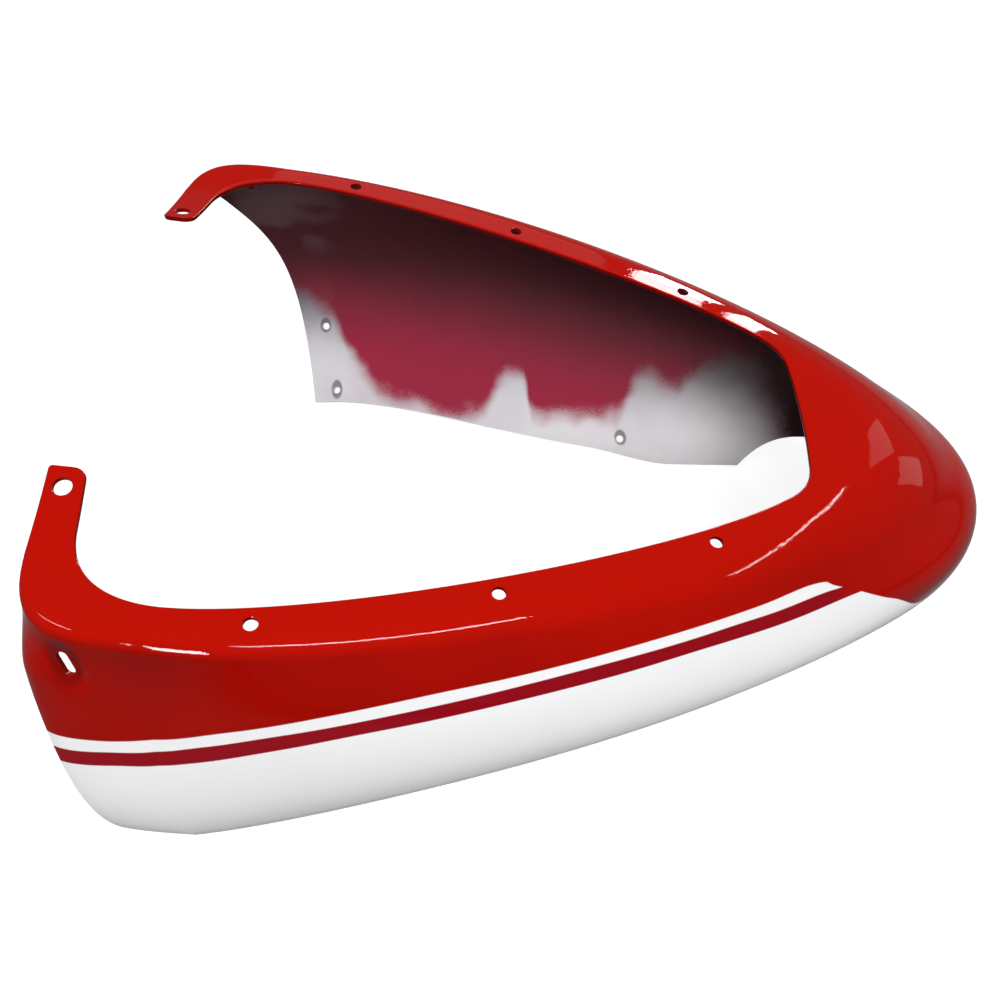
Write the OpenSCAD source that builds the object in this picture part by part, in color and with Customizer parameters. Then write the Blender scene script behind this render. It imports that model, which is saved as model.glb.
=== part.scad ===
// Upper half fairing of a motorcycle: one moulded shell, open above, below and behind.
// +X points to the nose, +Y to the rider's left and +Z up. The shell stands on its lower edges.
// The origin is under the middle of the shell, on the plane that the lower edges stand on.

/* [Shell] */
// Wall thickness of the moulding
wall_t = 3.2; // [2:0.1:5]
// Length from the tabs' rear edge to the crease at the nose
crease_len = 550; // [480:1:600]
// Half width across the creases that bound the top
crease_half_w = 225; // [190:1:260]
// Height of the top's plane at the tabs' rear edge
top_h = 257; // [225:1:290]
// Fall of the top's plane towards the nose, in degrees
top_slope = 9.4; // [5:0.1:13]

/* [Cockpit opening] */
// Width of the flange beside the cockpit opening
flange_w = 23.5; // [18:0.5:32]
// Length from the tabs' rear edge to the opening's front edge
opening_len = 467; // [420:1:490]
// Half width of the opening's front edge, up to its corners
opening_front_half_w = 77; // [60:1:90]
// Length of the rounded front corners along the front edge
front_corner = 32; // [15:1:40]
// Length of the same corners along X
front_corner_run = 17; // [10:1:30]
// Bow of the front edge towards the nose
front_bow = 2; // [0:0.5:6]
// Length ahead of the tabs over which the opening widens to its full width
opening_corner_len = 58; // [45:1:80]
// Pull of the opening's side forwards from there
opening_side_run = 83; // [60:1:110]
// Pull of the opening's side backwards from the front corner
opening_taper_len = 72; // [50:1:90]
// Pull of the opening's side outwards from the front corner
opening_taper_w = 53; // [30:1:70]

/* [Rear corners and tabs] */
// Length of the rounded rear corner along X
corner_len = 70; // [55:1:90]
// Width of the rounded rear corner along Y
corner_w = 65; // [50:1:75]
// Length of a tab beyond the rear corner
tab_len = 38; // [28:1:50]
// Width of a tab
tab_w = 23; // [19:1:30]
// Widening of a tab from its tip to the rear corner
tab_flare = 2; // [0:0.5:6]
// Radius of the tab's inner tip
tab_tip_r = 7; // [3:0.5:9]
// Height that a tab's tip stands above the plane of the top
tab_rise = 12; // [4:1:18]
// Half width between the lines at which the tabs bend up
tab_bend_half_w = 182; // [172:1:190]

/* [Crease] */
// Radius of the crease along the sides
crease_r = 9; // [6:0.5:14]
// Radius of the crease at the nose
nose_crease_r = 42; // [25:1:55]
// Pull of the crease line backwards from the nose, across its width
nose_round = 91; // [70:1:130]
// Pull of the crease line forwards from the rear corner
side_run = 177; // [120:1:220]

/* [Wall section] */
// The wall's section is a curve from the crease to the lower edge, pulled by an upper and a lower
// handle. Each value below changes along the side: the first is at the rear, the last is at the
// nose, and the two between pull it.
// Reach of the upper handle beyond the crease
upper_out = [23, 82, 98, 54]; // [10:1:120]
// Drop of the upper handle below the crease
upper_drop = [87, 83, 88, 73]; // [15:1:110]
// Reach of the lower handle beyond the crease
lower_out = [128, 48, 31, 83]; // [20:1:160]
// Drop of the lower handle below the crease
lower_drop = [139, 133, 108, 23]; // [10:1:150]
// Reach of the section's foot beyond the crease
foot_out = [-44, -42, -93, 47]; // [-110:1:130]
// Share of the corner's rounding that is lost below the crease, where the wall is squarer
corner_fill = 0.64; // [0.3:0.01:0.8]
// Share of the wall's depth over which that rounding is lost
corner_fade = 0.15; // [0.1:0.01:0.4]

/* [Rear and lower edges] */
// Distance from the tabs' rear edge to the rear edge's foot
rear_foot = 50; // [35:1:60]
// Lean of the rear edge from the vertical, in degrees
rear_lean = 12.6; // [8:0.1:16]
// Distance from the tabs' rear edge to the lowest point of the lower edge
lobe_x = 392; // [360:1:430]
// Height of the lower edge at the rear
lobe_rise = 4; // [0:0.5:10]
// Length over which the lower edge falls to its lowest point
lobe_len = 70; // [40:1:110]
// Distance from the tabs' rear edge to the start of the notch under the nose
notch_start = 461; // [435:1:490]
// Height of the lower edge at the start of the notch
notch_foot = 7.3; // [0:0.1:15]
// Height that the lower edge gains in the notch
notch_rise = 39.5; // [20:0.5:60]
// Length over which it gains that height
notch_len = 118; // [90:1:180]

/* [Fixing holes] */
// Diameter of the screen's screw holes
screen_hole_d = 8.4; // [5:0.1:10]
// Distance from the opening's edge to a screw hole's centre
screen_hole_inset = 10.5; // [8:0.5:13]
// Distance from the tabs' rear edge to the first screw hole
screen_hole_x1 = 127.5; // [110:0.5:145]
// Pitch of the screw holes along X
screen_hole_pitch = 130.5; // [110:1:145]
// Diameter of the hole in a tab
tab_hole_d = 11; // [6:0.5:14]
// Distance from a tab's tip to its hole's centre
tab_hole_inset = 12.5; // [9:0.5:18]
// Width of the oblong slot
slot_w = 6.5; // [5:0.1:9]
// Length of the oblong slot
slot_l = 15; // [12:0.5:20]
// Tilt of the slot from the upright, in degrees
slot_tilt = 20; // [-20:1:40]
// Distance from the tabs' rear edge to the slot
slot_x = 31; // [27:1:50]
// Height of the slot above the lowest point
slot_h = 230; // [200:1:240]
// Rim left round the slot by its recessed seat
seat_rim = 6; // [4:0.5:9]
// Depth of the recessed seat round the slot
seat_depth = 1.6; // [0.6:0.1:2.5]
// Diameter of the lower fixing holes
low_hole_d = 6.5; // [4:0.1:8]
// Distances from the tabs' rear edge to the three lower fixing holes
low_hole_x = [61, 72, 354]; // [55:1:400]
// Heights of the three lower fixing holes above the lowest point
low_hole_h = [52, 10.5, 13.5]; // [9:0.5:75]

/* [Hidden] */
paint_red = [0.73, 0.06, 0.02];

// Steps of the mesh: along the tab's tip, tab, corner behind and before the rear edge's foot,
// side, front corner and front edge
zone_steps = [3, 3, 12, 3, 22, 4, 7];
// Steps across the flange, the crease and the wall
flange_steps = 2;
crease_steps = 5;
wall_steps = 16;
// Share of the side's crease at which the opening's front corner starts and ends. A column of
// the mesh lies at the first, which puts it at the start of the notch.
front_from = 0.659;
front_to = 0.78;
// Share of the tab's length that its rounded tip takes
tip_share = tab_tip_r / tab_len;
trim_step = 0.1;
// Distance behind which a tab's rounded rear edge is cut, and how much of the crease's radius
// is lost towards a tab
tab_edge_x = 1;
tab_crease_fade = 0.65;
// Powers: how sharply the tabs bend up, how late the crease widens to the nose, and how the
// lower edge rises from the lobe and in the notch
tab_power = 1.3;
nose_power = 4;
lobe_power = 1.2;
notch_power = 4;
// Handles of the curves that round a quarter circle, the crease, the rear corner's crease and
// rim, and the opening's front corner, as shares of the sizes that they round
arc = 0.55;
crease_arc = 0.58;
corner_arc = [0.36, 0.94];
rim_arc = [0.465, 0.4];
front_arc = [0.25, 0.375];
// Length by which a cutter passes the surfaces that it cuts
over = 1;

tab_y = crease_half_w - corner_w - tab_len;
corner_y = crease_half_w - corner_w;
slope = tan(top_slope);
lean = tan(rear_lean);
tip_x = tab_w - tab_tip_r;
rim_half_w = crease_half_w - flange_w;
front_edge_x = opening_len - front_bow;
front_corner_x = front_edge_x - front_corner_run;
front_edge_half_w = opening_front_half_w - front_corner;
rim_side_x = tab_w + opening_corner_len;

// The crease in plan: tab, rear corner and side, each a Bezier curve
CREASE = [
    [[0, tab_y], [0, corner_y]],
    [[0, corner_y], [0, corner_y + corner_arc.y * corner_w],
        [corner_arc.x * corner_len, crease_half_w], [corner_len, crease_half_w]],
    [[corner_len, crease_half_w], [corner_len + side_run, crease_half_w],
        [crease_len, nose_round], [crease_len, 0]]
];
// The opening's edge in plan: tab tip, tab, rear corner, side, front corner and front edge
RIM = [
    [[tip_x, tab_y], [tip_x + arc * tab_tip_r, tab_y],
        [tab_w, tab_y + (1 - arc) * tab_tip_r], [tab_w, tab_y + tab_tip_r]],
    [[tab_w, tab_y + tab_tip_r], [tab_w + tab_flare, corner_y]],
    [[tab_w + tab_flare, corner_y], [tab_w + 2 * tab_flare, corner_y + rim_arc.y * corner_w],
        [tab_w + rim_arc.x * opening_corner_len, rim_half_w], [rim_side_x, rim_half_w]],
    [[rim_side_x, rim_half_w], [rim_side_x + opening_side_run, rim_half_w],
        [front_corner_x - opening_taper_len, opening_front_half_w + opening_taper_w],
        [front_corner_x, opening_front_half_w]],
    [[front_corner_x, opening_front_half_w],
        [front_edge_x - front_arc.x * front_bow, opening_front_half_w - front_arc.y * front_corner],
        [front_edge_x, front_edge_half_w]],
    [[front_edge_x, front_edge_half_w], [opening_len, front_edge_half_w / 2], [opening_len, 0]]
];
// Share of the corner's crease at which the rear edge's foot lies
foot_at = place_at(CREASE[1], rear_foot, 0, 1, 16);
// Each zone of the mesh: curve and span on the crease, then curve and span on the rim
ZONES = [
    [0, 0, tip_share, 0, 0, 1],
    [0, tip_share, 1, 1, 0, 1],
    [1, 0, foot_at, 2, 0, foot_at],
    [1, foot_at, 1, 2, foot_at, 1],
    [2, 0, front_from, 3, 0, 1],
    [2, front_from, front_to, 4, 0, 1],
    [2, front_to, 1, 5, 0, 1]
];

// Point on a Bezier curve of any degree, and the curve's direction there
function bez(p, t) = len(p) == 1 ? p[0] : bez([for (i = [0:len(p) - 2]) p[i] * (1 - t) + p[i + 1] * t], t);
function bez_dir(p, t) = unit(bez([for (i = [0:len(p) - 2]) p[i + 1] - p[i]], t));
function unit(v) = v / norm(v);
// Place on a Bezier curve at which it reaches a distance along X
function place_at(curve, x, lo, hi, n) =
    let (m = (lo + hi) / 2)
    n == 0 ? m : bez(curve, m).x < x ? place_at(curve, x, m, hi, n - 1) : place_at(curve, x, lo, m, n - 1);
function smooth(t) = let (u = min(1, max(0, t))) u * u * (3 - 2 * u);

// Height of the top at a point in plan. Only the tabs and rear corners bend up.
function top_z(p, rear) = top_h - slope * p.x
    + (rear ? tab_rise * pow(max(0, tab_bend_half_w - p.y) / (tab_bend_half_w - tab_y), tab_power) : 0);

// A station holds its point on the rim, its point on the crease, the direction in plan that
// the wall reaches out in, how far round the rear corner it lies and its place in the wall's section lists.
// That place slows down towards the nose, which keeps the nose smooth across the middle.
function station(crease, ct, rim, rt) =
    let (
        rear = crease < 2,
        a = bez(RIM[rim], rt),
        b = bez(CREASE[crease], ct),
        d = bez_dir(CREASE[crease], ct),
        reach = rear ? [0, 1] : [-d.y, d.x],
        turn = crease == 0 ? 1 : crease == 1 ? 1 - ct : 0,
        place = rear ? 0 : (3 * ct - pow(ct, 3)) / 2
    )
    [[a.x, a.y, top_z(a, rear)], [b.x, b.y, top_z(b, rear)], reach, turn, place];

STATIONS = [for (k = [0:len(ZONES) - 1])
    let (z = ZONES[k], n = zone_steps[k])
    for (i = [0:n - (k == len(ZONES) - 1 ? 0 : 1)])
        station(z[0], z[1] + (z[2] - z[1]) * i / n, z[3], z[4] + (z[5] - z[4]) * i / n)];

// Point of the wall's section at a station, from 0 at the crease to 1 at the lower edge
function wall_pt(st, v) =
    let (
        w = st[4],
        out = bez([0, bez(upper_out, w), bez(lower_out, w), bez(foot_out, w)], v),
        drop = bez([0, bez(upper_drop, w), bez(lower_drop, w), st[1].z], v),
        fill = st[3] > 0 ? corner_fill * (crease_half_w - st[1].y) * smooth(v / corner_fade) : 0
    )
    [st[1].x + st[2].x * out, st[1].y + st[2].y * out + fill, st[1].z - drop];

function wall_dir(st, v) = unit(wall_pt(st, v + 0.005) - wall_pt(st, v - 0.005));

// Point of the whole section: 0 to 1 on the flange, to 2 round the crease, to 3 down the wall
function section_pt(st, q) =
    let (
        r = crease_r * (1 - tab_crease_fade * st[3]) + (nose_crease_r - crease_r) * pow(st[4], nose_power),
        v0 = r / norm(wall_pt(st, 0.1) - st[1]) * 0.1,
        inward = unit(st[0] - st[1]),
        start = st[1] + inward * r,
        end = wall_pt(st, v0)
    )
    q <= 1 ? st[0] + (start - st[0]) * q
    : q <= 2 ? bez([start, start - inward * r * crease_arc, end - wall_dir(st, v0) * r * crease_arc, end], q - 1)
    : wall_pt(st, v0 + (1 - v0) * (q - 2));

// Lower edge and rear edge in side view, and how far inside both a point lies
function share(x, from, length) = min(1, max(0, (x - from) / length));
function edge_z(x) =
    x < lobe_x ? lobe_rise * smooth((lobe_x - x) / lobe_len)
    : notch_foot * pow(share(x, lobe_x, notch_start - lobe_x), lobe_power)
        + notch_rise * (1 - pow(1 - share(x, notch_start, notch_len), notch_power));
function rear_x(z) = max(tab_edge_x, rear_foot - lean * (z - lobe_rise));
function inside(p) = min(p.x - rear_x(p.z), p.z - edge_z(p.x));

// Place along a section at which it first meets the rear or lower edge
function trim(st, lo, hi, n) =
    n == 0 ? (lo + hi) / 2
    : let (m = (lo + hi) / 2) inside(section_pt(st, m)) > 0 ? trim(st, m, hi, n - 1) : trim(st, lo, m, n - 1);
function section_end(st, q = 1) =
    q >= 3 ? 3
    : inside(section_pt(st, q + trim_step)) < -0.001 ? trim(st, q, q + trim_step, 12)
    : section_end(st, q + trim_step);

function section(st) =
    let (end = section_end(st), mid = 1 + (end - 1) / 2)
    [
        for (i = [0:flange_steps - 1]) section_pt(st, i / flange_steps),
        for (i = [0:crease_steps - 1]) section_pt(st, 1 + (mid - 1) * i / crease_steps),
        for (i = [0:wall_steps]) section_pt(st, mid + (end - mid) * i / wall_steps)
    ];

// Outer skin from the left tab round the nose to the right tab, and its outward normals
function flip(p) = [p.x, -p.y, p.z];
HALF = [for (st = STATIONS) section(st)];
SKIN = concat(HALF, [for (i = [len(HALF) - 2:-1:0]) [for (p = HALF[i]) flip(p)]]);
cols = len(SKIN);
rows = len(SKIN[0]);
function skin_normal(i, j) =
    let (
        along = SKIN[min(i + 1, cols - 1)][j] - SKIN[max(i - 1, 0)][j],
        down = SKIN[i][min(j + 1, rows - 1)] - SKIN[i][max(j - 1, 0)]
    )
    unit(cross(along, down));
INNER = [for (i = [0:cols - 1]) [for (j = [0:rows - 1]) SKIN[i][j] - skin_normal(i, j) * wall_t]];

// The shell's middle along X, which the origin lies under
ALL_X = [for (c = SKIN) for (p = c) p.x];
mid_x = (min(ALL_X) + max(ALL_X)) / 2;

function id(i, j, side) = side * cols * rows + i * rows + j;
// A four-sided patch as two triangles, split from its first to its third corner
function patch(a, b, c, d) = [[a, b, c], [a, c, d]];
// The patches are split along their shorter diagonals, which run the other way past the nose
function wall_patch(i, j, side) =
    let (a = id(i, j, side), b = id(i, j + 1, side), c = id(i + 1, j + 1, side), d = id(i + 1, j, side))
    i < (cols - 1) / 2 ? patch(b, c, d, a) : patch(a, b, c, d);
function turned(f) = [f[2], f[1], f[0]];
FACES = [
    for (i = [0:cols - 2]) for (j = [0:rows - 2]) each wall_patch(i, j, 0),
    for (i = [0:cols - 2]) for (j = [0:rows - 2]) for (f = wall_patch(i, j, 1)) turned(f),
    for (i = [0:cols - 2]) each patch(id(i, 0, 0), id(i + 1, 0, 0), id(i + 1, 0, 1), id(i, 0, 1)),
    for (i = [0:cols - 2])
        each patch(id(i, rows - 1, 1), id(i + 1, rows - 1, 1), id(i + 1, rows - 1, 0), id(i, rows - 1, 0)),
    for (j = [0:rows - 2]) each patch(id(0, j + 1, 0), id(0, j, 0), id(0, j, 1), id(0, j + 1, 1)),
    for (j = [0:rows - 2])
        each patch(id(cols - 1, j, 0), id(cols - 1, j + 1, 0), id(cols - 1, j + 1, 1), id(cols - 1, j, 1))
];

module moulding() {
    polyhedron([for (c = SKIN) each c, for (c = INNER) each c], FACES, convexity = 6);
}

// Place on the wall at a distance from the tabs' rear edge and a height
function wall_v(st, z, lo, hi, n) =
    let (m = (lo + hi) / 2)
    n == 0 ? m : wall_pt(st, m).z > z ? wall_v(st, z, m, hi, n - 1) : wall_v(st, z, lo, m, n - 1);
function side_station(s) = s < 1 ? station(1, s, 2, s) : station(2, s - 1, 3, 0);
function wall_s(x, z, lo, hi, n) =
    let (m = (lo + hi) / 2, st = side_station(m))
    n == 0 ? m
    : wall_pt(st, wall_v(st, z, 0, 1, 14)).x < x ? wall_s(x, z, m, hi, n - 1) : wall_s(x, z, lo, m, n - 1);
function wall_place(x, z) =
    let (
        s = wall_s(x, z, 0.02, 1.9, 14),
        v = wall_v(side_station(s), z, 0, 1, 14),
        p = wall_pt(side_station(s), v),
        along = wall_pt(side_station(s + 0.01), v) - p
    )
    [p, unit(cross(along, wall_dir(side_station(s), v)))];

// Turns Z to a direction, with Y kept level
module aim(dir) {
    rotate([0, acos(dir.z), atan2(dir.y, dir.x)]) children();
}

module through_hole(pos, dir, d) {
    translate(pos) aim(dir) translate([0, 0, -2 * wall_t - over])
        cylinder(d = d, h = 4 * wall_t + 2 * over, $fn = 40);
}

module oblong(w, l) {
    for (side = [-1, 1]) translate([side * (l - w) / 2, 0]) circle(d = w, $fn = 32);
    square([l - w, w], center = true);
}

top_dir = unit([slope, 0, 1]);

module screen_holes() {
    for (k = [0:2]) {
        x = screen_hole_x1 + k * screen_hole_pitch;
        t = place_at(RIM[3], x, 0, 1, 16);
        d = bez_dir(RIM[3], t);
        p = bez(RIM[3], t) + [-d.y, d.x] * screen_hole_inset;
        through_hole([p.x, p.y, top_z(p, false)], top_dir, screen_hole_d);
    }
}

module tab_hole() {
    p = [tab_w / 2, tab_y + tab_hole_inset];
    z0 = top_z(p, true);
    tilt = (top_z(p + [0, over], true) - z0) / over;
    through_hole([p.x, p.y, z0], unit([slope, -tilt, 1]), tab_hole_d);
}

SLOT = wall_place(slot_x, slot_h);
seat_w = slot_w + 2 * seat_rim;
seat_l = slot_l + 2 * seat_rim;

// The seat is pressed in, so the wall behind it bulges by the same depth
module slot_seat_pad() {
    translate(SLOT[0]) aim(SLOT[1]) rotate(-slot_tilt)
        translate([0, 0, -wall_t - seat_depth])
            linear_extrude(seat_depth + wall_t / 2) oblong(seat_w + wall_t, seat_l + wall_t);
}

module slot_cut() {
    translate(SLOT[0]) aim(SLOT[1]) rotate(-slot_tilt) {
        translate([0, 0, -seat_depth]) linear_extrude(wall_t + over) oblong(seat_w, seat_l);
        translate([0, 0, -3 * wall_t]) linear_extrude(5 * wall_t) oblong(slot_w, slot_l);
    }
}

module low_holes() {
    for (k = [0:2]) {
        place = wall_place(low_hole_x[k], low_hole_h[k]);
        through_hole(place[0], place[1], low_hole_d);
    }
}

module both_sides() {
    children();
    mirror([0, 1, 0]) children();
}

module fairing_shell() {
    color(paint_red) translate([-mid_x, 0, 0]) difference() {
        union() {
            moulding();
            both_sides() slot_seat_pad();
        }
        both_sides() {
            screen_holes();
            tab_hole();
            slot_cut();
            low_holes();
        }
    }
}

fairing_shell();
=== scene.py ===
import math

import bmesh
import bpy
import numpy as np
from mathutils import Matrix, Vector


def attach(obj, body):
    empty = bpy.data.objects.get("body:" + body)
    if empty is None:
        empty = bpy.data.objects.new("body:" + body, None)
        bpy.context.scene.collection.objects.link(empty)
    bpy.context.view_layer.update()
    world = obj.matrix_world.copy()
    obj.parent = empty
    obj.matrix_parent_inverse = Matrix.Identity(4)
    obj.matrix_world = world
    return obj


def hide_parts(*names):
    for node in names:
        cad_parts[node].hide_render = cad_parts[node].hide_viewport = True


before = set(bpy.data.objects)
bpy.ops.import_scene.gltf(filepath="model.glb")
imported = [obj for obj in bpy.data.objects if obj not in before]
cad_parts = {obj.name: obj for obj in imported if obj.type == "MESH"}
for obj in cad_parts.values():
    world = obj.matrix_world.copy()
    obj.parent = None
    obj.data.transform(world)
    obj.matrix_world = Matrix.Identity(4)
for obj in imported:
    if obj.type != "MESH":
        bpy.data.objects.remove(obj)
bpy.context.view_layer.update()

# The shell is worked out again here from the part's own sizes, on a finer mesh than the solid's.
# Sizes are in millimetres. X runs from the tabs' rear edge to the nose, Y to the rider's left and
# Z up from the plane that the shell stands on. Only the left half is worked out, and the right
# half mirrors it. The frame's origin lies MID_X ahead of the tabs' rear edge.
MID_X = 306.95

# Shell and cockpit opening
WALL_T = 3.2
CREASE_LEN, CREASE_HALF_W = 550, 225
TOP_H, TOP_SLOPE = 257, math.tan(math.radians(9.4))
FLANGE_W, OPENING_LEN = 23.5, 467
FRONT_HALF_W, FRONT_CORNER, FRONT_CORNER_RUN, FRONT_BOW = 77, 32, 17, 2
OPENING_CORNER_LEN, OPENING_SIDE_RUN = 58, 83
OPENING_TAPER_LEN, OPENING_TAPER_W = 72, 53

# Rear corners and tabs. TAB_EDGE_X is where a tab's rounded rear edge is cut.
CORNER_LEN, CORNER_W = 70, 65
TAB_LEN, TAB_W, TAB_FLARE, TAB_TIP_R = 38, 23, 2, 7
TAB_RISE, TAB_BEND_HALF_W = 12, 182
TAB_EDGE_X, TAB_CORNER_R = 1, 4

# Crease between the top and the wall
CREASE_R, NOSE_CREASE_R, TAB_CREASE_FADE = 9, 42, 0.65
NOSE_ROUND, SIDE_RUN = 91, 177

# Handles of the wall's section. The first value is at the rear, the last is at the nose, and the
# two between pull it.
UPPER_OUT, UPPER_DROP = (23, 82, 98, 54), (87, 83, 88, 73)
LOWER_OUT, LOWER_DROP = (128, 48, 31, 83), (139, 133, 108, 23)
FOOT_OUT = (-44, -42, -93, 47)
CORNER_FILL, CORNER_FADE = 0.64, 0.15

# Rear and lower edges
REAR_FOOT, REAR_LEAN = 50, math.tan(math.radians(12.6))
LOBE_X, LOBE_RISE, LOBE_LEN = 392, 4, 70
NOTCH_START, NOTCH_FOOT, NOTCH_RISE, NOTCH_LEN = 461, 7.3, 39.5, 118

# Holes: screen, tab, oblong slot in its pressed seat, and lower edge
SCREEN_HOLE_D, SCREEN_HOLE_INSET = 8.4, 10.5
SCREEN_HOLE_X1, SCREEN_HOLE_PITCH, SCREEN_HOLES = 127.5, 130.5, 3
TAB_HOLE_D, TAB_HOLE_INSET = 11, 12.5
SLOT_W, SLOT_L, SLOT_TILT, SLOT_X, SLOT_H = 6.5, 15, math.radians(20), 31, 230
SEAT_RIM, SEAT_DEPTH, SEAT_SOFT, SEAT_REACH = 6, 1.6, 1.8, 12
LOW_HOLE_D, LOW_HOLE_X, LOW_HOLE_H = 6.5, (61, 72, 354), (52, 10.5, 13.5)

# Eased edges of the moulding and of its holes
EDGE_R, EDGE_STEPS, HOLE_CHAMFER = 0.8, 3, 0.35

# Powers: how sharply the tabs bend up, how late the crease widens to the nose, and how the lower
# edge rises from the lobe and in the notch
TAB_POWER, NOSE_POWER, LOBE_POWER, NOTCH_POWER = 1.3, 4, 1.2, 4

# Handles of the curves that round a tab's tip and the crease, then the rear corner's crease, the
# rim inside it and the opening's front corner, as shares of the sizes that they round
ARC, CREASE_ARC = 0.55, 0.58
CORNER_ARC, RIM_ARC, FRONT_ARC = (0.36, 0.94), (27 / 58, 0.4), (0.25, 0.375)

# Cutting: points round a hole and round a tab's corner, length by which a cutter passes the skins,
# and share by which a corner's arc is wider than its radius. The arc then crosses the tab's
# edges, because a cutter that only touches them leaves slivers. The last two are in metres and
# degrees: the distance at which points are joined, and the angle that stays sharp.
HOLE_POINTS, CORNER_POINTS = 48, 13
HOLE_PAST, CORNER_PAST, CORNER_WIDER = 2, 3, 1.1
WELD, SHARP_ANGLE = 5e-6, 38

TAB_Y = CREASE_HALF_W - CORNER_W - TAB_LEN
CORNER_Y = CREASE_HALF_W - CORNER_W
TIP_X = TAB_W - TAB_TIP_R
RIM_HALF_W = CREASE_HALF_W - FLANGE_W
FRONT_EDGE_X = OPENING_LEN - FRONT_BOW
FRONT_CORNER_X = FRONT_EDGE_X - FRONT_CORNER_RUN
FRONT_EDGE_HALF_W = FRONT_HALF_W - FRONT_CORNER
RIM_SIDE_X = TAB_W + OPENING_CORNER_LEN

# The crease in plan: tab, rear corner and side, each a Bezier curve
CREASE = [
    [(0, TAB_Y), (0, CORNER_Y)],
    [(0, CORNER_Y), (0, CORNER_Y + CORNER_ARC[1] * CORNER_W),
     (CORNER_ARC[0] * CORNER_LEN, CREASE_HALF_W), (CORNER_LEN, CREASE_HALF_W)],
    [(CORNER_LEN, CREASE_HALF_W), (CORNER_LEN + SIDE_RUN, CREASE_HALF_W),
     (CREASE_LEN, NOSE_ROUND), (CREASE_LEN, 0)],
]
# The opening's edge in plan: tab tip, tab, rear corner, side, front corner and front edge
RIM = [
    [(TIP_X, TAB_Y), (TIP_X + ARC * TAB_TIP_R, TAB_Y),
     (TAB_W, TAB_Y + (1 - ARC) * TAB_TIP_R), (TAB_W, TAB_Y + TAB_TIP_R)],
    [(TAB_W, TAB_Y + TAB_TIP_R), (TAB_W + TAB_FLARE, CORNER_Y)],
    [(TAB_W + TAB_FLARE, CORNER_Y), (TAB_W + 2 * TAB_FLARE, CORNER_Y + RIM_ARC[1] * CORNER_W),
     (TAB_W + RIM_ARC[0] * OPENING_CORNER_LEN, RIM_HALF_W), (RIM_SIDE_X, RIM_HALF_W)],
    [(RIM_SIDE_X, RIM_HALF_W), (RIM_SIDE_X + OPENING_SIDE_RUN, RIM_HALF_W),
     (FRONT_CORNER_X - OPENING_TAPER_LEN, FRONT_HALF_W + OPENING_TAPER_W),
     (FRONT_CORNER_X, FRONT_HALF_W)],
    [(FRONT_CORNER_X, FRONT_HALF_W),
     (FRONT_EDGE_X - FRONT_ARC[0] * FRONT_BOW, FRONT_HALF_W - FRONT_ARC[1] * FRONT_CORNER),
     (FRONT_EDGE_X, FRONT_EDGE_HALF_W)],
    [(FRONT_EDGE_X, FRONT_EDGE_HALF_W), (OPENING_LEN, 0.5 * FRONT_EDGE_HALF_W), (OPENING_LEN, 0)],
]
# Places in those two lists
TAB, CORNER, SIDE = 0, 1, 2
RIM_TIP, RIM_TAB, RIM_CORNER, RIM_SIDE, RIM_FRONT_CORNER, RIM_FRONT = range(6)


def bez(points, t):
    """Bezier curve of any degree. Points are numbers or vectors, t is an array."""
    t = np.asarray(t, float)
    p = [np.asarray(q, float) for q in points]
    if p[0].ndim:
        t = t[..., None]
    while len(p) > 1:
        p = [a * (1 - t) + b * t for a, b in zip(p, p[1:])]
    return p[0] + 0 * t


def bez_dir(points, t):
    """Direction of a Bezier curve."""
    return unit(bez([np.subtract(b, a) for a, b in zip(points, points[1:])], t))


def smooth(t):
    """Smooth step from 0 to 1."""
    u = np.clip(t, 0, 1)
    return u * u * (3 - 2 * u)


def unit(v):
    return v / np.linalg.norm(v, axis=-1, keepdims=True)


def search(below, lo, hi, turns):
    """Place between two others at which a condition stops being true."""
    for _ in range(turns):
        mid = (lo + hi) / 2
        lo, hi = (mid, hi) if below(mid) else (lo, mid)
    return lo


def place_at(curve, x):
    """Place on a curve at which it reaches a distance along X."""
    return search(lambda t: bez(curve, t)[0] < x, 0.0, 1.0, 30)


def top_z(p, rear):
    """Height of the top at a point in plan. Only the tabs and rear corners bend up."""
    bend = np.maximum(0, TAB_BEND_HALF_W - p[..., 1]) / (TAB_BEND_HALF_W - TAB_Y)
    return TOP_H - TOP_SLOPE * p[..., 0] + np.where(rear, TAB_RISE * bend ** TAB_POWER, 0)


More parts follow.
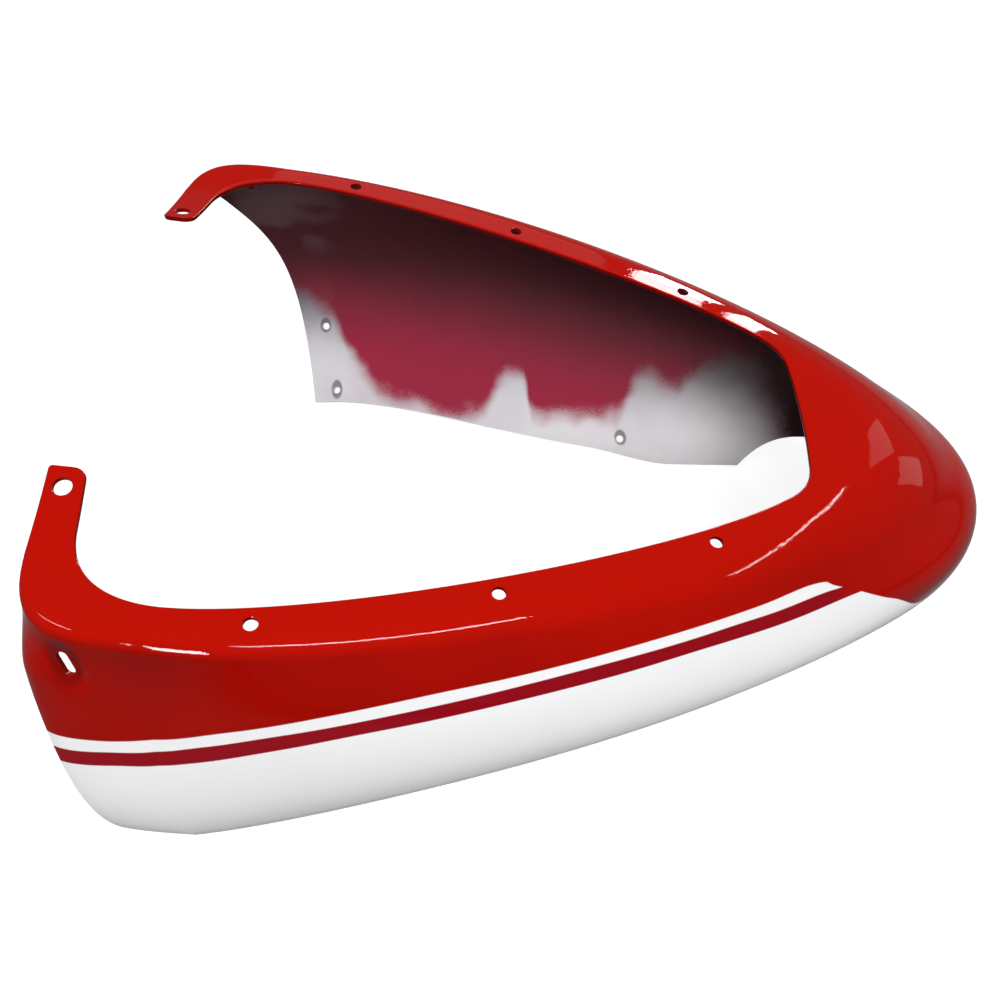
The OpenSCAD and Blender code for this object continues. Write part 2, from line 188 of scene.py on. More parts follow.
class Stations:
    """The stations along the left half, one for each column of the mesh.

    A station has its points on the rim and the crease, the direction in plan that the wall
    reaches out in, how far round the rear corner it lies, and its place in the wall's handles,
    which slows down towards the nose.
    """

    def __init__(self, zones):
        """A zone is a curve of the crease and places on it, then the same on the rim."""
        rim, crease, reach, turn, place, rear = [], [], [], [], [], []
        for curve, t, rim_curve, rim_t in zones:
            heading = bez_dir(CREASE[curve], t)
            none, all_of_it = 0 * t, 0 * t + 1
            rim.append(bez(RIM[rim_curve], rim_t))
            crease.append(bez(CREASE[curve], t))
            sideways = (none, all_of_it) if curve < SIDE else (-heading[:, 1], heading[:, 0])
            reach.append(np.stack(sideways, -1))
            turn.append({TAB: all_of_it, CORNER: 1 - t, SIDE: none}[curve])
            place.append((3 * t - t ** 3) / 2 if curve == SIDE else none)
            rear.append(np.full(len(t), curve < SIDE))
        rim, crease, self.reach = (np.concatenate(a) for a in (rim, crease, reach))
        self.turn, self.place, rear = (np.concatenate(a) for a in (turn, place, rear))
        self.rim = np.column_stack([rim, top_z(rim, rear)])
        self.crease = np.column_stack([crease, top_z(crease, rear)])

    def pick(self, index):
        """Some of the stations, by their numbers."""
        some = object.__new__(Stations)
        for name, values in vars(self).items():
            setattr(some, name, values[index])
        return some

    def wall(self, v):
        """Points on the wall. v has a row for each station, 0 at the crease and 1 at the foot."""
        u = 1 - v
        b1, b2, b3 = 3 * u * u * v, 3 * u * v * v, v ** 3
        at = lambda handle: bez(handle, self.place)[:, None]
        out = b1 * at(UPPER_OUT) + b2 * at(LOWER_OUT) + b3 * at(FOOT_OUT)
        drop = b1 * at(UPPER_DROP) + b2 * at(LOWER_DROP) + b3 * self.crease[:, 2:]
        rounding = CORNER_FILL * (CREASE_HALF_W - self.crease[:, 1])
        fill = np.where(self.turn > 0, rounding, 0)[:, None] * smooth(v / CORNER_FADE)
        return np.stack([self.crease[:, 0:1] + self.reach[:, 0:1] * out,
                         self.crease[:, 1:2] + self.reach[:, 1:2] * out + fill,
                         self.crease[:, 2:] - drop], -1)

    def wall_dir(self, v, step=0.005):
        """Direction down the wall."""
        return unit(self.wall(v + step) - self.wall(v - step))

    def section(self, q):
        """Points of a section: to 1 on the flange, to 2 round the crease, to 3 down the wall."""
        r = CREASE_R * (1 - TAB_CREASE_FADE * self.turn)
        r = (r + (NOSE_CREASE_R - CREASE_R) * self.place ** NOSE_POWER)[:, None]
        probe = 0.1
        chord = self.wall(np.full_like(r, probe))[:, 0] - self.crease
        v0 = r / np.linalg.norm(chord, axis=1)[:, None] * probe
        inward = unit(self.rim - self.crease)
        start = self.crease + inward * r
        end, down = self.wall(v0)[:, 0], self.wall_dir(v0)[:, 0]
        flange = self.rim[:, None] + (start - self.rim)[:, None] * np.clip(q, 0, 1)[..., None]
        t = np.clip(q - 1, 0, 1)[..., None]
        handles = (start, start - inward * r * CREASE_ARC, end - down * r * CREASE_ARC, end)
        a, b, c, d = (p[:, None] for p in handles)
        bend = a * (1 - t) ** 3 + 3 * b * (1 - t) ** 2 * t + 3 * c * (1 - t) * t ** 2 + d * t ** 3
        side = self.wall(v0 + (1 - v0) * np.clip(q - 2, 0, 1))
        q = q[..., None]
        return np.where(q <= 1, flange, np.where(q <= 2, bend, side))

    def section_end(self, samples=1200):
        """Place along each section at which it first meets the rear or lower edge."""
        q = np.broadcast_to(np.linspace(1, 3, samples + 1), (len(self.turn), samples + 1))
        depth = inside(self.section(q))
        outside = depth < -0.001
        after = np.where(outside.any(1), outside.argmax(1), samples)
        before = np.maximum(after - 1, 0)
        row = np.arange(len(after))
        d0, d1 = depth[row, before], depth[row, after]
        part = np.where(outside.any(1), d0 / np.where(d0 == d1, 1, d0 - d1), 1)
        return q[row, before] + part * (q[0, 1] - q[0, 0])

    def normals(self, q, step=0.004):
        """Outward normals of the untrimmed surface at places of the sections."""
        n = len(self.turn)
        before = self.pick(np.maximum(np.arange(n) - 1, 0)).section(q)
        after = self.pick(np.minimum(np.arange(n) + 1, n - 1)).section(q)
        after[-1] = before[-1] * [1, -1, 1]
        down = self.section(q + step) - self.section(np.maximum(q - step, 0))
        return unit(np.cross(after - before, down))


def share(x, start, length):
    return np.clip((x - start) / length, 0, 1)


def inside(p):
    """How far inside the rear and lower edges points lie, in side view."""
    x, z = p[..., 0], p[..., 2]
    lobe = LOBE_RISE * smooth((LOBE_X - x) / LOBE_LEN)
    notch = (NOTCH_FOOT * share(x, LOBE_X, NOTCH_START - LOBE_X) ** LOBE_POWER
             + NOTCH_RISE * (1 - (1 - share(x, NOTCH_START, NOTCH_LEN)) ** NOTCH_POWER))
    rear_x = np.maximum(TAB_EDGE_X, REAR_FOOT - REAR_LEAN * (z - LOBE_RISE))
    return np.minimum(x - rear_x, z - np.where(x < LOBE_X, lobe, notch))


def even(a, b, n, last=False):
    """Even steps from a to b, without b unless it is the last."""
    return np.linspace(a, b, n + 1)[:None if last else -1]


# Columns of the mesh, in the same zones as the solid's
TIP_SHARE = TAB_TIP_R / TAB_LEN
FRONT_FROM, FRONT_TO = 0.659, 0.78
FOOT_AT = place_at(CREASE[CORNER], REAR_FOOT)
STATIONS = Stations([
    (TAB, even(0, TIP_SHARE, 7), RIM_TIP, even(0, 1, 7)),
    (TAB, even(TIP_SHARE, 1, 14), RIM_TAB, even(0, 1, 14)),
    (CORNER, even(0, FOOT_AT, 56), RIM_CORNER, even(0, FOOT_AT, 56)),
    (CORNER, even(FOOT_AT, 1, 12), RIM_CORNER, even(FOOT_AT, 1, 12)),
    (SIDE, even(0, FRONT_FROM, 96), RIM_SIDE, even(0, 1, 96)),
    (SIDE, even(FRONT_FROM, FRONT_TO, 20), RIM_FRONT_CORNER, even(0, 1, 20)),
    (SIDE, even(FRONT_TO, 1, 34, True), RIM_FRONT, even(0, 1, 34, True)),
])
# Rows across the flange, the crease and the wall, where the first fifth has closer rows
FLANGE_SHARES, CREASE_SHARES = even(0, 1, 7), even(0, 1, 10)
WALL_SHARES = np.concatenate([even(0, 0.2, 22), even(0.2, 1, 36, True)])


def surface_place(x, z):
    """Point on the wall at a distance from the tabs' rear edge and a height, and its normal."""
    def wall_at(s, v):
        """Point at a place s, to 1 round the rear corner and to 2 along the side."""
        if s < 1:
            zone = (CORNER, np.array([s]), RIM_CORNER, np.array([s]))
        else:
            zone = (SIDE, np.array([s - 1]), RIM_SIDE, np.array([0.0]))
        return Stations([zone]).wall(np.array([[v]]))[0, 0]

    v_at = lambda s: search(lambda v: wall_at(s, v)[2] > z, 0.0, 1.0, 24)
    s = search(lambda s: wall_at(s, v_at(s))[0] < x, 0.02, 1.9, 24)
    v = v_at(s)
    p = wall_at(s, v)
    along, down = wall_at(s + 0.01, v) - p, wall_at(s, v + 0.005) - wall_at(s, v - 0.005)
    return p, unit(np.cross(along, down))


def level_axes(n):
    """Two axes across a normal: down the wall, and level."""
    flat = unit(np.array([n[0], n[1], 0.0]))
    down = np.array([flat[0] * n[2], flat[1] * n[2], -math.hypot(n[0], n[1])])
    return down, np.array([-flat[1], flat[0], 0.0])


def turned_axes(n, angle):
    """The same two axes, turned about the normal."""
    down, level = level_axes(n)
    return (math.cos(angle) * down - math.sin(angle) * level,
            math.sin(angle) * down + math.cos(angle) * level)


SLOT_P, SLOT_N = surface_place(SLOT_X, SLOT_H)
SLOT_U, SLOT_V = turned_axes(SLOT_N, SLOT_TILT)


def seat_depth(p):
    """Depth of the pressed seat round the slot at points of the left half."""
    d = p - SLOT_P
    u, v, n = d @ SLOT_U, d @ SLOT_V, d @ SLOT_N
    half = (SLOT_L - SLOT_W) / 2
    edge = np.hypot(np.maximum(np.abs(u) - half, 0), v) - (SLOT_W / 2 + SEAT_RIM)
    depth = SEAT_DEPTH * (1 - smooth((edge + SEAT_SOFT) / (2 * SEAT_SOFT)))
    return np.where(np.abs(n) < SEAT_REACH, depth, 0)


def rings():
    """A closed ring of points round the wall at each column, and the outer skin's row count."""
    end = STATIONS.section_end()[:, None]
    mid = 1 + (end - 1) / 2
    flange = STATIONS.section(0 * end) - STATIONS.section(0 * end + 1)
    start = EDGE_R / np.linalg.norm(flange, axis=-1)
    speed = np.linalg.norm(STATIONS.section(end) - STATIONS.section(end - 0.01), axis=-1) / 0.01
    stop = end - EDGE_R / speed
    q = np.concatenate([start + (1 - start) * FLANGE_SHARES, 1 + (mid - 1) * CREASE_SHARES,
                        mid + (stop - mid) * WALL_SHARES], 1)
    mirror = lambda a: np.concatenate([a, (a * [1, -1, 1])[-2::-1]])
    outer, normal = mirror(STATIONS.section(q)), mirror(STATIONS.normals(q))
    to_left = np.where(outer[..., 1:2] < 0, [1, -1, 1], [1, 1, 1])
    outer = outer - seat_depth(outer * to_left)[..., None] * SLOT_N * to_left
    inner = outer - normal * WALL_T
    turn = np.linspace(0, np.pi / 2, EDGE_STEPS + 1)[1:, None, None]

    def edge(row, away):
        """The rounded edge from one skin to the other."""
        n = normal[:, row]
        away = away - (away * n).sum(1, keepdims=True) * n
        away = unit(away) * np.sin(turn) * EDGE_R
        drop = n * (1 - np.cos(turn)) * EDGE_R
        first, last = outer[:, row] + away - drop, inner[:, row] + away + drop
        return np.concatenate([first, last[::-1]]).transpose(1, 0, 2)

    low = edge(-1, outer[:, -1] - outer[:, -2])
    top = edge(0, outer[:, 0] - outer[:, 1])
    points = np.concatenate([outer, low, inner[:, ::-1], top[:, ::-1]], 1)
    points[..., 0] = np.maximum(points[..., 0], TAB_EDGE_X)
    return points, outer.shape[1]


def to_frame(p):
    """Points in the frame's metres."""
    return (np.asarray(p) - [MID_X, 0, 0]) / 1000


def mesh_object(name, verts, faces):
    mesh = bpy.data.meshes.new(name)
    mesh.from_pydata([tuple(v) for v in verts], [], faces)
    obj = bpy.data.objects.new(name, mesh)
    bpy.context.scene.collection.objects.link(obj)
    return obj


def edit(mesh, step):
    """Runs a step on a mesh as a bmesh."""
    bm = bmesh.new()
    bm.from_mesh(mesh)
    step(bm)
    bm.to_mesh(mesh)
    bm.free()


def face_outwards(bm):
    bmesh.ops.recalc_face_normals(bm, faces=bm.faces)


def join_slivers(bm):
    """Joins the points of the slivers that the cutting leaves."""
    bmesh.ops.remove_doubles(bm, verts=bm.verts, dist=WELD)
    bmesh.ops.dissolve_degenerate(bm, edges=bm.edges, dist=WELD)


def shell_body(outer_paint_and_shade, inner_spray_and_shade):
    """The whole moulding before its holes, from one tab's tip round the nose to the other's."""
    points, rows = rings()
    cols, count = points.shape[:2]
    inner_start = rows + 2 * EDGE_STEPS
    inner_end = inner_start + rows - 1
    ids = np.arange(cols * count).reshape(cols, count)
    after = np.roll(ids, -1, axis=1)
    faces = np.stack([ids[:-1], after[:-1], after[1:], ids[1:]], -1)
    slots = np.zeros(faces.shape[:2], int)
    slots[:, inner_start:inner_end] = 1
    faces, slots = faces.reshape(-1, 4).tolist(), slots.ravel().tolist()
    for ring, turned in ((ids[0].tolist(), False), (ids[-1].tolist(), True)):
        tip = [[ring[k], ring[inner_end - k], ring[inner_end - k - 1], ring[k + 1]]
               for k in range(rows - 1)]
        tip += [ring[rows - 1:inner_start + 1][::-1], [ring[0], *ring[:inner_end - 1:-1]]]
        faces += [face[::-1] if turned else face for face in tip]
        slots += [0] * len(tip)
    shell = mesh_object("painted_fairing_shell", to_frame(points.reshape(-1, 3)), faces)
    shell.data.materials.append(outer_paint_and_shade)
    shell.data.materials.append(inner_spray_and_shade)
    shell.data.polygons.foreach_set("material_index", slots)
    edit(shell.data, face_outwards)
    return shell


def hole_cutter(p, n, u, v, width, length):
    """Rings of a round or oblong cutter, a little wider at each skin so that edges are eased."""
    half = (length - width) / 2
    a = np.linspace(0, 2 * np.pi, HOLE_POINTS, endpoint=False) + np.pi / HOLE_POINTS
    shift = np.where(np.cos(a) > 0, half, -half)
    eased, past = WALL_T / 2 - HOLE_CHAMFER, WALL_T / 2 + HOLE_PAST
    found = []
    for h in (-past, -eased, eased, past):
        r = width / 2 + max(0, abs(h) - eased)
        across = np.outer(r * np.cos(a) + shift, u) + np.outer(r * np.sin(a), v)
        found.append(p + (h - WALL_T / 2) * n + across)
    return found


def corner_cutter():
    """Rings of the cutter that rounds a tab's rear corner."""
    x, y, r = TAB_EDGE_X + TAB_CORNER_R, TAB_Y + TAB_CORNER_R, CORNER_WIDER * TAB_CORNER_R
    back, out = TAB_EDGE_X - CORNER_PAST, TAB_Y - CORNER_PAST
    arc = np.linspace(-np.pi / 2, -np.pi, CORNER_POINTS)
    outline = [(back, out), (x, out)]
    outline += [(x + r * math.cos(t), y + r * math.sin(t)) for t in arc]
    outline.append((back, y))
    return [np.array([(*p, z) for p in outline]) for z in (TOP_H, TOP_H + 2 * TAB_RISE)]


def holes():
    """Place, normal, two axes, width and length of every hole of the left half."""
    found = []
    top = unit(np.array([TOP_SLOPE, 0, 1]))
    for k in range(SCREEN_HOLES):
        t = place_at(RIM[RIM_SIDE], SCREEN_HOLE_X1 + k * SCREEN_HOLE_PITCH)
        d = bez_dir(RIM[RIM_SIDE], t)
        p = bez(RIM[RIM_SIDE], t) + np.array([-d[1], d[0]]) * SCREEN_HOLE_INSET
        found.append((np.array([*p, top_z(p, False)]), top, SCREEN_HOLE_D))
    p = np.array([TAB_W / 2, TAB_Y + TAB_HOLE_INSET])
    tilt = top_z(p + [0, 1], True) - top_z(p, True)
    tab_top = unit(np.array([TOP_SLOPE, -tilt, 1]))
    found.append((np.array([*p, top_z(p, True)]), tab_top, TAB_HOLE_D))
    for x, z in zip(LOW_HOLE_X, LOW_HOLE_H):
        found.append((*surface_place(x, z), LOW_HOLE_D))
    found = [(p, n, *level_axes(n), d, d) for p, n, d in found]
    found.append((SLOT_P - SLOT_N * SEAT_DEPTH, SLOT_N, SLOT_U, SLOT_V, SLOT_W, SLOT_L))
    return found


def add_prism(verts, faces, rings):
    """Adds the closed solid through rings that have the same number of points."""
    n = len(rings[0])
    starts = [len(verts) + k * n for k in range(len(rings))]
    verts.extend(to_frame(np.concatenate(rings)))
    for a, b in zip(starts, starts[1:]):
        faces.extend([a + i, a + (i + 1) % n, b + (i + 1) % n, b + i] for i in range(n))
    faces.extend([start + i for i in range(n)] for start in (starts[0], starts[-1]))


def cut_holes(shell):
    """Cuts the holes and the tabs' corners out of the shell, on both sides."""
    verts, faces = [], []
    for cutter in [hole_cutter(*hole) for hole in holes()] + [corner_cutter()]:
        for side in (1, -1):
            add_prism(verts, faces, [ring * [1, side, 1] for ring in cutter])
    cutters = mesh_object("hole_cutter", verts, faces)
    edit(cutters.data, face_outwards)
    cut = shell.modifiers.new("holes", "BOOLEAN")
    cut.operation, cut.solver, cut.object = "DIFFERENCE", "EXACT", cutters
    bpy.context.view_layer.update()
    evaluated = shell.evaluated_get(bpy.context.evaluated_depsgraph_get())
    mesh = bpy.data.meshes.new_from_object(evaluated)
    shell.modifiers.clear()
    shell.data = mesh
    bpy.data.objects.remove(cutters)
    edit(mesh, join_slivers)
    mesh.polygons.foreach_set("use_smooth", [True] * len(mesh.polygons))
    mesh.set_sharp_from_angle(angle=math.radians(SHARP_ANGLE))
    mesh.update()


# Materials

# Span of the livery's lines along X and Z
SPAN_X, SPAN_Z = 640.0, 280.0


class Nodes:
    """A material's node tree, with short calls to build it. Values are numbers or sockets."""

    def __init__(self, name):
        self.material = bpy.data.materials.new(name)
        self.material.use_nodes = True
        self.tree = self.material.node_tree
        self.shader = self.tree.nodes["Principled BSDF"]
        self.place = self.node("TexCoord", out="Object")

    def put(self, socket, value):
        """Links a socket to another, or sets it. A colour of three numbers gets its alpha."""
        if isinstance(value, bpy.types.NodeSocket):
            self.tree.links.new(value, socket)
        elif isinstance(value, tuple) and len(value) == 3 and len(socket.default_value) == 4:
            socket.default_value = (*value, 1)
        else:
            socket.default_value = value

    def set(self, name, value):
        """Sets an input of the shader."""
        self.put(self.shader.inputs[name], value)

    def node(self, kind, inputs=(), out=0, **settings):
        """Adds a node and returns one of its outputs."""
        n = self.tree.nodes.new("ShaderNode" + kind)
        for key, value in settings.items():
            setattr(n, key, value)
        for key, value in dict(inputs).items():
            self.put(n.inputs[key], value)
        return n.outputs[out]

    def math(self, op, a, b):
        return self.node("Math", {0: a, 1: b}, operation=op)

    def plus(self, a, b):
        return self.math("ADD", a, b)

    def minus(self, a, b):
        return self.math("SUBTRACT", a, b)

    def times(self, a, b):
        return self.math("MULTIPLY", a, b)

    def step(self, value, lo, hi):
        """Smooth step from 0 at lo to 1 at hi."""
        return self.node("MapRange", {"Value": value, "From Min": lo, "From Max": hi},
                         interpolation_type="SMOOTHSTEP")

    def mix(self, factor, a, b):
        """Colour a where the factor is 0, b where it is 1."""
        n = self.tree.nodes.new("ShaderNodeMix")
        n.data_type = "RGBA"
        self.put(n.inputs["Factor"], factor)
        self.put(n.inputs["A"], a)
        self.put(n.inputs["B"], b)
        return n.outputs["Result"]

    def noise(self, scale, detail=3.0, rough=0.5):
        """Noise from 0 to 1. The scale is in waves a metre."""
        return self.node("TexNoise", {"Vector": self.place, "Scale": scale, "Detail": detail,
                                      "Roughness": rough})

    def drift(self, scale, detail, reach):
        """Noise round 0, as far as half the reach each way."""
        return self.times(self.minus(self.noise(scale, detail), 0.5), reach)

    def distance(self, a, b):
        return self.node("VectorMath", {0: a, 1: b}, out="Value", operation="DISTANCE")

    def bump(self, height, strength, distance):
        """Bump of the shader, with its distance in metres."""
        self.set("Normal", self.node("Bump", {"Height": height, "Strength": strength,
                                              "Distance": distance}))

    def curve(self, x, points, span=SPAN_X, rise=SPAN_Z):
        """A smooth curve through points in millimetres, within a span and a rise."""
        n = self.tree.nodes.new("ShaderNodeFloatCurve")
        c = n.mapping.curves[0]
        scaled = [(px / span, py / rise) for px, py in points]
        c.points[0].location, c.points[1].location = scaled[0], scaled[-1]
        for p in scaled[1:-1]:
            c.points.new(*p)
        n.mapping.extend = "HORIZONTAL"
        n.mapping.update()
        self.put(n.inputs["Value"], self.math("DIVIDE", x, span))
        return self.times(n.outputs[0], rise)

    def side_view(self):
        """Distance from the tabs' rear edge and height, in millimetres."""
        split = self.tree.nodes.new("ShaderNodeSeparateXYZ")
        self.put(split.inputs[0], self.place)
        x, z = (self.times(split.outputs[i], 1000.0) for i in (0, 2))
        return self.plus(x, MID_X), z


# Edges of the livery, each a smooth curve through distances from the tabs' rear edge and heights.
# The white stripe lies between the first two and ends at STRIPE_END. The dark line runs below it,
# down to the white panel, and fades out at PINSTRIPE_END. The panel lies below the third.
STRIPE_TOP = [(0, 188.5), (18, 187.5), (68, 185), (114, 189), (202, 191.3), (267, 186.4),
              (422, 164.6), (466, 155.7), (472, 151.7), (640, 64)]
STRIPE_LOW = [(0, 180), (40, 179.2), (68, 177.9), (97, 180.8), (147, 184.5), (251, 182.4),
              (393, 164.7), (433, 157.3), (466, 151.1), (478, 147.9), (640, 106)]
STRIPE_END, PINSTRIPE_END = (482.0, 480.0), (486.0, 470.0)
PANEL_TOP = [(0, 170.7), (43, 170.6), (68, 169.2), (92, 171), (140, 175.6), (201, 177.4),
             (356, 163.7), (444, 148.5), (492, 139.2), (640, 96)]
# The panel's front edge, through heights and distances
PANEL_FRONT = [(0, 618), (64, 580), (88, 558), (101, 543.5), (118, 526), (126.5, 513),
               (139, 493.5), (154, 470), (280, 440)]
# Half the width over which one paint goes over into the next
PAINT_EDGE = 0.25
# Lower edge of the overspray inside, and how far it fades below and above that
OVERSPRAY = [(0, 94), (45, 78), (57, 67), (72, 56), (84, 37), (104, 21), (121, 13), (214, 12),
             (250, 43), (262, 42), (270, 22), (300, 23), (348, 31), (376, 62), (398, 57),
             (413, 67), (465, 92), (486, 84), (640, 64)]
OVERSPRAY_FADE = (-9.0, 11.0)

# Colours outside: the top, the sides darkened as painted shade, the line, the panel, dirt, and
# painted shade for the slot's seat
RED, SHADED_SIDE_RED, PINSTRIPE = (0.44, 0.004, 0.0003), (0.18, 0.001, 0.0005), (0.26, 0.003, 0.008)
WHITE, DULL_WHITE = (0.85, 0.85, 0.86), (0.66, 0.66, 0.68)
GRIME, SEAT_SHADE = (0.10, 0.02, 0.02), (0.05, 0.001, 0.002)
# Colours inside: bare moulding from the rear to the nose and high up, and overspray. Both darken
# high up as painted shade under the flange
BARE_REAR, BARE_SIDE, BARE_NOSE = (0.62, 0.56, 0.61), (0.78, 0.75, 0.78), (0.92, 0.90, 0.93)
BARE_PATCH, BARE_SHADED_HIGH = (0.70, 0.68, 0.72), (0.16, 0.14, 0.16)
SPRAY_LOW, SPRAY_SHADED_HIGH = (0.34, 0.022, 0.055), (0.100, 0.024, 0.031)
SPRAY_NOSE = (0.085, 0.034, 0.040)
SMUDGE, HOLE_SHADE = (0.60, 0.56, 0.60), (0.10, 0.09, 0.10)


def outer_paint_and_shade():
    """Gloss paint: red with a stripe, a thin dark line and a lower white panel, with painted shade
    on the sides and in the slot's seat.
    """
    m = Nodes("gloss_paint_and_shade")
    x, z = m.side_view()
    below = lambda line: m.step(m.minus(m.curve(x, line), z), -PAINT_EDGE, PAINT_EDGE)
    under_stripe = below(STRIPE_LOW)
    stripe = m.times(below(STRIPE_TOP), m.minus(1.0, under_stripe))
    stripe = m.times(stripe, m.step(x, *STRIPE_END))
    front = m.curve(z, PANEL_FRONT, SPAN_Z, SPAN_X)
    panel = m.times(below(PANEL_TOP), m.step(m.minus(front, x), -PAINT_EDGE, PAINT_EDGE))

    # Painted shade: the red is darker where the wall turns away from above, where less light falls
    facing = m.node("SeparateXYZ", {0: m.node("TexCoord", out="Normal")}, out=2)
    red = m.mix(m.step(m.plus(facing, m.drift(7.0, 2.0, 0.5)), 0.15, 0.95), SHADED_SIDE_RED, RED)
    red = m.mix(m.times(under_stripe, m.step(x, *PINSTRIPE_END)), red, PINSTRIPE)
    white = m.mix(m.times(m.step(m.noise(14.0), 0.45, 0.75), 0.10), WHITE, DULL_WHITE)
    colour = m.mix(m.math("MAXIMUM", stripe, panel), red, white)

    # Fine dirt all over, and painted shade in the slot's seat
    dirt = m.times(m.step(m.noise(220.0, 5.0, 0.65), 0.62, 0.80), 0.08)
    colour = m.mix(dirt, colour, GRIME)
    squash = 0.7
    here = m.node("CombineXYZ", {0: x, 2: m.times(z, squash)})
    reach = m.distance(here, (SLOT_X, 0, squash * SLOT_H))
    colour = m.mix(m.times(m.step(reach, 12.5, 7.0), 0.45), colour, SEAT_SHADE)
    m.set("Base Color", colour)

    m.set("Roughness", m.plus(m.times(m.noise(60.0, 4.0), 0.03), 0.01))
    m.set("IOR", 1.22)
    m.bump(m.noise(260.0, 2.0), 0.05, 0.0006)
    return m.material


def inner_spray_and_shade():
    """Bare moulding under red overspray that thins out towards the lower edge. Both darken high up
    as painted shade under the flange.
    """
    m = Nodes("inner_overspray_and_shade")
    x, z = m.side_view()
    drift = m.drift(24.0, 2.5, 26.0)

    bare = m.mix(m.step(m.plus(x, m.times(drift, 3.0)), 60.0, 260.0), BARE_REAR, BARE_SIDE)
    bare = m.mix(m.step(m.noise(16.0), 0.35, 0.7), bare, BARE_PATCH)
    bare = m.mix(m.step(x, 370.0, 440.0), bare, BARE_NOSE)
    # Painted shade: the bare moulding darkens high up, where the flange shades the inside
    bare = m.mix(m.step(m.plus(z, m.times(drift, 0.5)), 22.0, 92.0), bare, BARE_SHADED_HIGH)

    # Painted shade: the overspray darkens from crimson low down to dark maroon high up, under the
    # flange
    height = m.step(m.plus(z, m.times(drift, 0.8)), 25.0, 130.0)
    spray = m.mix(height, SPRAY_LOW, SPRAY_SHADED_HIGH)
    nose = m.step(m.plus(m.plus(x, drift), m.times(z, 0.4)), 488.0, 530.0)
    spray = m.mix(nose, spray, SPRAY_NOSE)

    # The spray covers all above its edge and at the nose, with specks where it thins out
    above = m.plus(m.minus(z, m.curve(x, OVERSPRAY)), drift)
    cover = m.math("MAXIMUM", m.step(above, *OVERSPRAY_FADE), nose)
    speck = m.times(m.step(m.noise(900.0, 2.0), 0.5, 0.62), 0.25)
    cover = m.math("MINIMUM", m.plus(cover, m.times(speck, cover)), 1.0)
    colour = m.mix(cover, bare, spray)

    # Pale smudges high at the rear, and dark rings round the lower holes
    smudge = m.times(m.step(m.noise(15.0, 1.5), 0.50, 0.66), m.step(x, 125.0, 70.0))
    smudge = m.times(smudge, m.step(z, 110.0, 150.0))
    colour = m.mix(m.times(smudge, 0.10), colour, SMUDGE)
    here = m.node("CombineXYZ", {0: x, 2: z})
    for hole_x, hole_z in zip(LOW_HOLE_X, LOW_HOLE_H):
        reach = m.distance(here, (hole_x, 0, hole_z + WALL_T))
        colour = m.mix(m.times(m.step(reach, 6.4, 4.4), 0.75), colour, HOLE_SHADE)
    m.set("Base Color", colour)

    m.set("Roughness", m.plus(m.times(m.noise(120.0, 4.0), 0.25), 0.42))
    m.set("IOR", 1.16)
    m.bump(m.noise(700.0, 4.0, 0.6), 0.25, 0.0005)
    return m.material


shell = shell_body(outer_paint_and_shade(), inner_spray_and_shade())
cut_holes(shell)
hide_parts("fairing_shell")
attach(shell, "root")


# Floor, light and camera, in the frame's metres

FLOOR_HALF_W = 25
FLOOR_GREY, FLOOR_PATCH = (0.34, 0.34, 0.34), (0.36, 0.36, 0.36)
# Brightness of the floor to the camera beside the object and how much it gains further away
FLOOR_GLOW, FLOOR_GAIN, FLOOR_GAIN_REACH = 0.82, 0.13, (0.6, 3.0)
WORLD_LEVEL = 0.2

# Soft lamps that light the object and don't show as reflections: place, size and power
SOFT_LAMPS = {
    "key": ((0.5, -1.9, 2.2), (1.6, 1.1), 39),
    "top": ((0.1, -0.7, 2.5), (1.4, 1.0), 32),
    "fill": ((0.3, 3.0, 1.7), (1.6, 1.0), 32),
}
SOFT_TARGET = (0, 0, 0.1)

# Small bright lamps that show only as reflections: place, target, size and power
GLINTS = [
    ((-0.61, -2.84, 1.62), (-0.22, -0.22, 0.24), (0.44, 0.60), 75),
    ((0.58, -1.20, 2.30), (-0.05, -0.20, 0.21), (1.56, 0.12), 32),
    ((2.02, 0.15, 1.62), (0.14, -0.10, 0.18), (1.50, 0.03), 7),
    ((-1.20, -0.45, 2.50), (-0.28, -0.20, 0.25), (1.20, 0.08), 18),
    ((0.10, 2.6, 1.75), (0.10, 0, 0.25), (1.30, 1.30), 4.2),
    ((2.35, 1.64, 1.45), (0.24, -0.06, 0.17), (0.75, 0.60), 2.4),
    ((2.90, 1.08, 0.77), (0.24, -0.04, 0.17), (0.60, 0.62), 2.0),
    ((1.055, 2.6, 1.33), (1.055, 0, 1.2), (0.33, 1.85), 73),
    ((1.435, 2.6, 1.33), (1.435, 0, 1.2), (0.17, 1.85), 38),
]

# The photograph's camera: its place from the tabs' rear edge in millimetres, and in pixels its
# focal length, the picture's width, and the vanishing point of the object's left, right of and
# below the picture's middle
CAMERA_AT = (294.1, -449.5, 650.6)
FOCAL_PX, PICTURE_PX, LEFT_VANISHES_PX = 900.0, 1000, (56.6, -1142.8)
SENSOR_W = 36


def floor():
    """A pale floor that the camera sees nearly white, and that keeps the object's shadow."""
    w = FLOOR_HALF_W
    plane = mesh_object("floor", [(-w, -w, 0), (w, -w, 0), (w, w, 0), (-w, w, 0)], [(0, 1, 2, 3)])
    m = Nodes("pale_floor")
    m.set("Base Color", m.mix(m.noise(3.0), FLOOR_GREY, FLOOR_PATCH))
    m.set("Roughness", 0.9)
    m.set("Specular IOR Level", 0.0)
    path = m.tree.nodes.new("ShaderNodeLightPath")
    seen = m.math("MAXIMUM", path.outputs["Is Camera Ray"], path.outputs["Is Transmission Ray"])
    away = m.distance(m.place, (0, 0, 0))
    glow = m.plus(FLOOR_GLOW, m.times(m.step(away, *FLOOR_GAIN_REACH), FLOOR_GAIN))
    m.set("Emission Color", (1.0, 1.0, 1.0))
    m.set("Emission Strength", m.times(seen, glow))
    plane.data.materials.append(m.material)


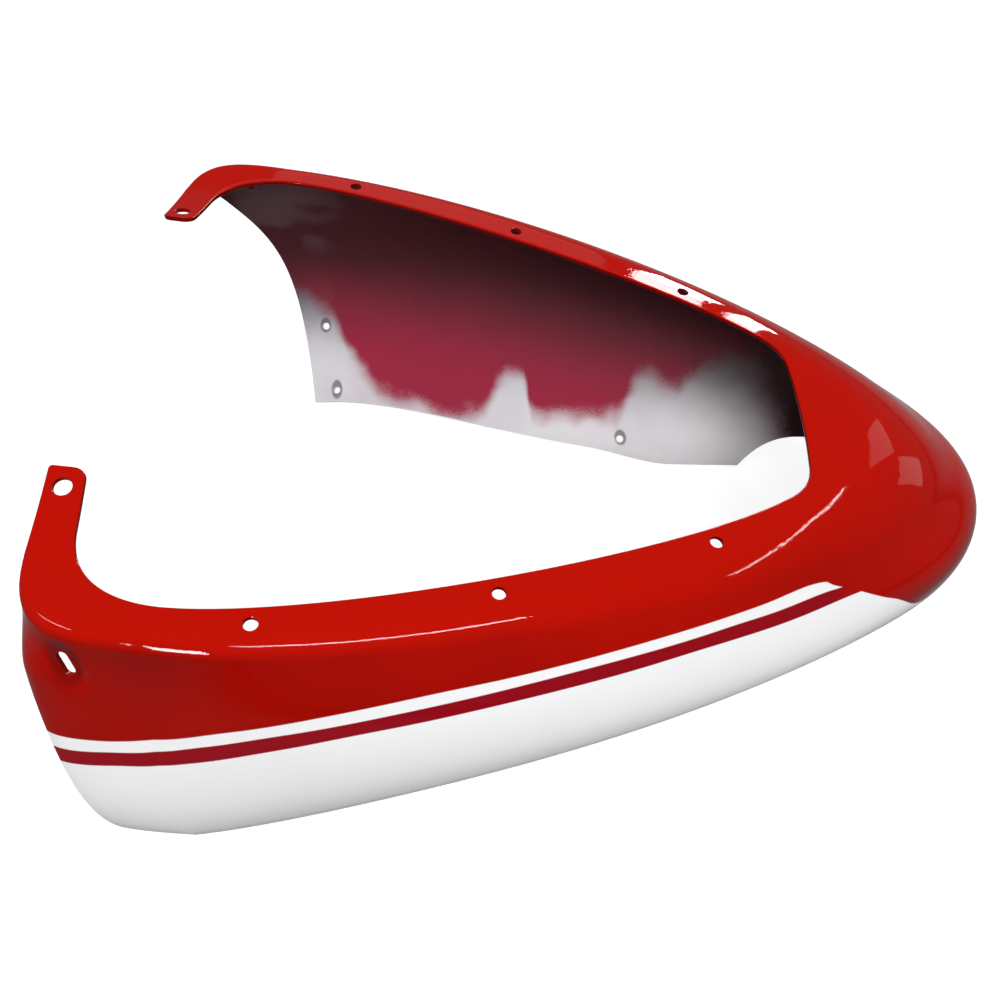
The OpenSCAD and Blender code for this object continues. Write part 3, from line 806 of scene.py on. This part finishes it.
def area_light(name, place, target, size, power, glint):
    """A lamp that shows only as a reflection if it is a glint, and never as one otherwise."""
    light = bpy.data.lights.new(name, "AREA")
    light.shape, light.size, light.size_y = "RECTANGLE", *size
    light.energy = power
    obj = bpy.data.objects.new(name, light)
    bpy.context.scene.collection.objects.link(obj)
    obj.location = place
    obj.rotation_euler = (Vector(target) - Vector(place)).to_track_quat("-Z", "Y").to_euler()
    obj.visible_diffuse, obj.visible_glossy = not glint, glint


def lights():
    """A dim world that is white to the camera, the soft lamps and the glints."""
    world = bpy.data.worlds.new("studio")
    bpy.context.scene.world = world
    world.use_nodes = True
    tree = world.node_tree
    shade = tree.nodes["Background"]
    shade.inputs["Color"].default_value = (1, 1, 1, 1)
    path = tree.nodes.new("ShaderNodeLightPath")
    level = tree.nodes.new("ShaderNodeMapRange")
    level.inputs["To Min"].default_value = WORLD_LEVEL
    tree.links.new(path.outputs["Is Camera Ray"], level.inputs["Value"])
    tree.links.new(level.outputs["Result"], shade.inputs["Strength"])
    for name, (place, size, power) in SOFT_LAMPS.items():
        area_light(name, place, SOFT_TARGET, size, power, glint=False)
    for k, glint in enumerate(GLINTS):
        area_light(f"glint_{k + 1}", *glint, glint=True)


def camera():
    """The photograph's view, from behind, above and to the right."""
    data = bpy.data.cameras.new("camera")
    cam = bpy.data.objects.new("camera", data)
    bpy.context.scene.collection.objects.link(cam)
    data.sensor_width = SENSOR_W
    data.lens = SENSOR_W * FOCAL_PX / PICTURE_PX
    # The object's axes as the camera has them: right, down and ahead. Up is upright in the picture.
    left = unit(np.array([*LEFT_VANISHES_PX, FOCAL_PX]))
    up = np.array([0.0, -1.0, 0.0])
    up = unit(up - (up @ left) * left)
    right, down, ahead = np.array([np.cross(left, up), left, up]).T
    turn = Matrix((right, -down, -ahead)).transposed()
    place = Vector(to_frame(CAMERA_AT))
    cam.matrix_world = Matrix.Translation(place) @ turn.to_4x4()
    bpy.context.scene.camera = cam


floor()
lights()
camera()
bpy.context.scene.view_settings.view_transform = "Standard"
